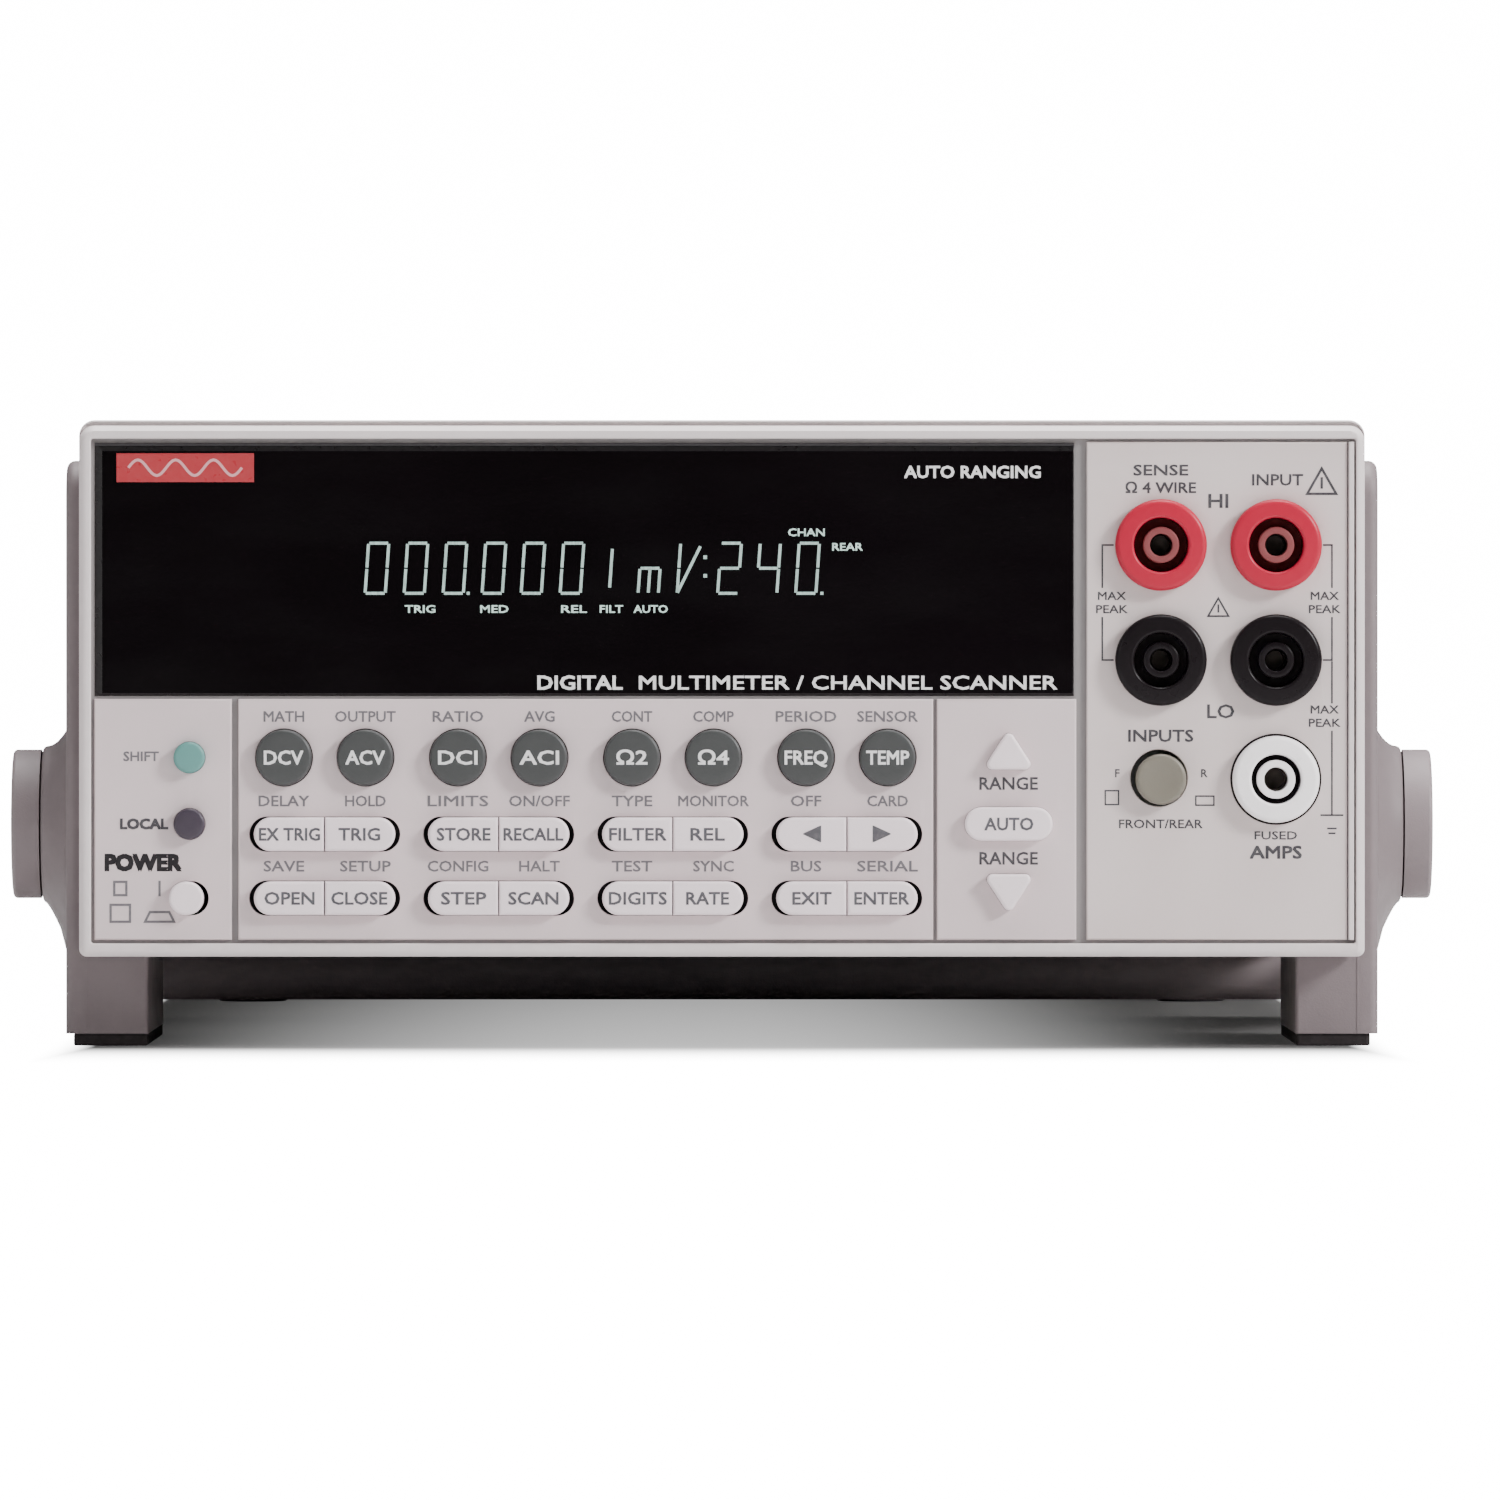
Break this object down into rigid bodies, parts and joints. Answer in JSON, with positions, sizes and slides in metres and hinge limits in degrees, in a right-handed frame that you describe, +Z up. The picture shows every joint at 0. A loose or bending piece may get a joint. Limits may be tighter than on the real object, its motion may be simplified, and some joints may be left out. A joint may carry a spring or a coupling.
{
  "type": "bench multimeter",
  "caption": "Half-rack bench multimeter with a dark display window, function keys, safety jacks, a folding carry handle and a rear option bay.",
  "frame": {"origin": "on the bench, under the centre of the instrument's box", "axes": "+X to the right seen from the front panel, +Y from the front panel to the rear, +Z up"},
  "size_m": [0.238, 0.37, 0.104],
  "materials": {
    "bezel_plastic": "satin",
    "cover_paint": "satin",
    "window_black": "gloss",
    "dark_key": "satin",
    "light_key": "satin",
    "shift_key": "satin",
    "local_key": "satin",
    "selector_grey": "satin",
    "jack_red": "satin",
    "jack_black": "satin",
    "jack_white": "satin",
    "handle_grey": "satin",
    "foot_rubber": "matte",
    "chassis_steel": "satin",
    "key_mat": "matte",
    "circuit_board": "satin",
    "tube_glass": "gloss",
    "transformer_core": "matte",
    "black_plastic": "satin",
    "connector_metal": "satin"
  },
  "bodies": {
    "case": {"case_cover": "cover_paint", "front_bezel": "bezel_plastic", "display_window": "window_black", "chassis": "chassis_steel", "rear_bezel": "handle_grey", "left_ear": "handle_grey", "right_ear": "handle_grey", "left_ear_pad": "foot_rubber", "right_ear_pad": "foot_rubber", "rear_foot_left": "foot_rubber", "rear_foot_right": "foot_rubber", "key_mat": "key_mat", "display_board": "circuit_board", "display_tube": "tube_glass", "main_board": "circuit_board", "mains_transformer": "transformer_core", "sense_high_jack": "jack_red", "sense_low_jack": "jack_black", "input_high_jack": "jack_red", "input_low_jack": "jack_black", "power_inlet": "black_plastic", "card_cover_lower": "chassis_steel", "card_cover_upper": "chassis_steel", "bus_connector": "connector_metal", "serial_connector": "connector_metal"},
    "carry_handle": {"carry_handle": "handle_grey"},
    "power_button": {"power_button": "light_key", "power_rod": "black_plastic"},
    "input_selector": {"input_selector": "selector_grey"},
    "current_fuse_jack": {"current_fuse_jack": "jack_white"},
    "fuse_drawer": {"fuse_drawer": "black_plastic"},
    "key_dc_volts": {"key_dc_volts": "dark_key"},
    "key_ac_volts": {"key_ac_volts": "dark_key"},
    "key_dc_amps": {"key_dc_amps": "dark_key"},
    "key_ac_amps": {"key_ac_amps": "dark_key"},
    "key_ohms_2_wire": {"key_ohms_2_wire": "dark_key"},
    "key_ohms_4_wire": {"key_ohms_4_wire": "dark_key"},
    "key_frequency": {"key_frequency": "dark_key"},
    "key_temperature": {"key_temperature": "dark_key"},
    "key_ext_trigger": {"key_ext_trigger": "light_key"},
    "key_trigger": {"key_trigger": "light_key"},
    "key_store": {"key_store": "light_key"},
    "key_recall": {"key_recall": "light_key"},
    "key_filter": {"key_filter": "light_key"},
    "key_relative": {"key_relative": "light_key"},
    "key_cursor_left": {"key_cursor_left": "light_key"},
    "key_cursor_right": {"key_cursor_right": "light_key"},
    "key_open": {"key_open": "light_key"},
    "key_close": {"key_close": "light_key"},
    "key_step": {"key_step": "light_key"},
    "key_scan": {"key_scan": "light_key"},
    "key_digits": {"key_digits": "light_key"},
    "key_rate": {"key_rate": "light_key"},
    "key_exit": {"key_exit": "light_key"},
    "key_enter": {"key_enter": "light_key"},
    "key_shift": {"key_shift": "shift_key"},
    "key_local": {"key_local": "local_key"},
    "key_range_up": {"key_range_up": "light_key"},
    "key_auto_range": {"key_auto_range": "light_key"},
    "key_range_down": {"key_range_down": "light_key"}
  },
  "joints": [
    {"name": "carry_handle_pivot", "type": "hinge", "parent": "case", "child": "carry_handle", "pos_m": [0, -0.144, 0.0367], "axis": [-1, 0, 0], "range_deg": [0, 180]},
    {"name": "power_button_press", "type": "slide", "parent": "case", "child": "power_button", "axis": [0, 1, 0], "range_m": [-0.003, 0]},
    {"name": "input_selector_press", "type": "slide", "parent": "case", "child": "input_selector", "axis": [0, 1, 0], "range_m": [-0.0035, 0]},
    {"name": "current_fuse_jack_turn", "type": "hinge", "parent": "case", "child": "current_fuse_jack", "pos_m": [0.09175, -0.1824, 0.0445], "axis": [0, -1, 0], "range_deg": [0, 90]},
    {"name": "fuse_drawer_slide", "type": "slide", "parent": "case", "child": "fuse_drawer", "axis": [0, 1, 0], "range_m": [0, 0.016]},
    {"name": "key_dc_volts_press", "type": "slide", "parent": "case", "child": "key_dc_volts", "axis": [0, 1, 0], "range_m": [0, 0.0012], "stiffness_N_per_m": 400, "springref_m": -0.001},
    {"name": "key_ac_volts_press", "type": "slide", "parent": "case", "child": "key_ac_volts", "axis": [0, 1, 0], "range_m": [0, 0.0012], "stiffness_N_per_m": 400, "springref_m": -0.001},
    {"name": "key_dc_amps_press", "type": "slide", "parent": "case", "child": "key_dc_amps", "axis": [0, 1, 0], "range_m": [0, 0.0012], "stiffness_N_per_m": 400, "springref_m": -0.001},
    {"name": "key_ac_amps_press", "type": "slide", "parent": "case", "child": "key_ac_amps", "axis": [0, 1, 0], "range_m": [0, 0.0012], "stiffness_N_per_m": 400, "springref_m": -0.001},
    {"name": "key_ohms_2_wire_press", "type": "slide", "parent": "case", "child": "key_ohms_2_wire", "axis": [0, 1, 0], "range_m": [0, 0.0012], "stiffness_N_per_m": 400, "springref_m": -0.001},
    {"name": "key_ohms_4_wire_press", "type": "slide", "parent": "case", "child": "key_ohms_4_wire", "axis": [0, 1, 0], "range_m": [0, 0.0012], "stiffness_N_per_m": 400, "springref_m": -0.001},
    {"name": "key_frequency_press", "type": "slide", "parent": "case", "child": "key_frequency", "axis": [0, 1, 0], "range_m": [0, 0.0012], "stiffness_N_per_m": 400, "springref_m": -0.001},
    {"name": "key_temperature_press", "type": "slide", "parent": "case", "child": "key_temperature", "axis": [0, 1, 0], "range_m": [0, 0.0012], "stiffness_N_per_m": 400, "springref_m": -0.001},
    {"name": "key_ext_trigger_press", "type": "slide", "parent": "case", "child": "key_ext_trigger", "axis": [0, 1, 0], "range_m": [0, 0.0012], "stiffness_N_per_m": 400, "springref_m": -0.001},
    {"name": "key_trigger_press", "type": "slide", "parent": "case", "child": "key_trigger", "axis": [0, 1, 0], "range_m": [0, 0.0012], "stiffness_N_per_m": 400, "springref_m": -0.001},
    {"name": "key_store_press", "type": "slide", "parent": "case", "child": "key_store", "axis": [0, 1, 0], "range_m": [0, 0.0012], "stiffness_N_per_m": 400, "springref_m": -0.001},
    {"name": "key_recall_press", "type": "slide", "parent": "case", "child": "key_recall", "axis": [0, 1, 0], "range_m": [0, 0.0012], "stiffness_N_per_m": 400, "springref_m": -0.001},
    {"name": "key_filter_press", "type": "slide", "parent": "case", "child": "key_filter", "axis": [0, 1, 0], "range_m": [0, 0.0012], "stiffness_N_per_m": 400, "springref_m": -0.001},
    {"name": "key_relative_press", "type": "slide", "parent": "case", "child": "key_relative", "axis": [0, 1, 0], "range_m": [0, 0.0012], "stiffness_N_per_m": 400, "springref_m": -0.001},
    {"name": "key_cursor_left_press", "type": "slide", "parent": "case", "child": "key_cursor_left", "axis": [0, 1, 0], "range_m": [0, 0.0012], "stiffness_N_per_m": 400, "springref_m": -0.001},
    {"name": "key_cursor_right_press", "type": "slide", "parent": "case", "child": "key_cursor_right", "axis": [0, 1, 0], "range_m": [0, 0.0012], "stiffness_N_per_m": 400, "springref_m": -0.001},
    {"name": "key_open_press", "type": "slide", "parent": "case", "child": "key_open", "axis": [0, 1, 0], "range_m": [0, 0.0012], "stiffness_N_per_m": 400, "springref_m": -0.001},
    {"name": "key_close_press", "type": "slide", "parent": "case", "child": "key_close", "axis": [0, 1, 0], "range_m": [0, 0.0012], "stiffness_N_per_m": 400, "springref_m": -0.001},
    {"name": "key_step_press", "type": "slide", "parent": "case", "child": "key_step", "axis": [0, 1, 0], "range_m": [0, 0.0012], "stiffness_N_per_m": 400, "springref_m": -0.001},
    {"name": "key_scan_press", "type": "slide", "parent": "case", "child": "key_scan", "axis": [0, 1, 0], "range_m": [0, 0.0012], "stiffness_N_per_m": 400, "springref_m": -0.001},
    {"name": "key_digits_press", "type": "slide", "parent": "case", "child": "key_digits", "axis": [0, 1, 0], "range_m": [0, 0.0012], "stiffness_N_per_m": 400, "springref_m": -0.001},
    {"name": "key_rate_press", "type": "slide", "parent": "case", "child": "key_rate", "axis": [0, 1, 0], "range_m": [0, 0.0012], "stiffness_N_per_m": 400, "springref_m": -0.001},
    {"name": "key_exit_press", "type": "slide", "parent": "case", "child": "key_exit", "axis": [0, 1, 0], "range_m": [0, 0.0012], "stiffness_N_per_m": 400, "springref_m": -0.001},
    {"name": "key_enter_press", "type": "slide", "parent": "case", "child": "key_enter", "axis": [0, 1, 0], "range_m": [0, 0.0012], "stiffness_N_per_m": 400, "springref_m": -0.001},
    {"name": "key_shift_press", "type": "slide", "parent": "case", "child": "key_shift", "axis": [0, 1, 0], "range_m": [0, 0.0012], "stiffness_N_per_m": 400, "springref_m": -0.001},
    {"name": "key_local_press", "type": "slide", "parent": "case", "child": "key_local", "axis": [0, 1, 0], "range_m": [0, 0.0012], "stiffness_N_per_m": 400, "springref_m": -0.001},
    {"name": "key_range_up_press", "type": "slide", "parent": "case", "child": "key_range_up", "axis": [0, 1, 0], "range_m": [0, 0.0012], "stiffness_N_per_m": 400, "springref_m": -0.001},
    {"name": "key_auto_range_press", "type": "slide", "parent": "case", "child": "key_auto_range", "axis": [0, 1, 0], "range_m": [0, 0.0012], "stiffness_N_per_m": 400, "springref_m": -0.001},
    {"name": "key_range_down_press", "type": "slide", "parent": "case", "child": "key_range_down", "axis": [0, 1, 0], "range_m": [0, 0.0012], "stiffness_N_per_m": 400, "springref_m": -0.001}
  ]
}
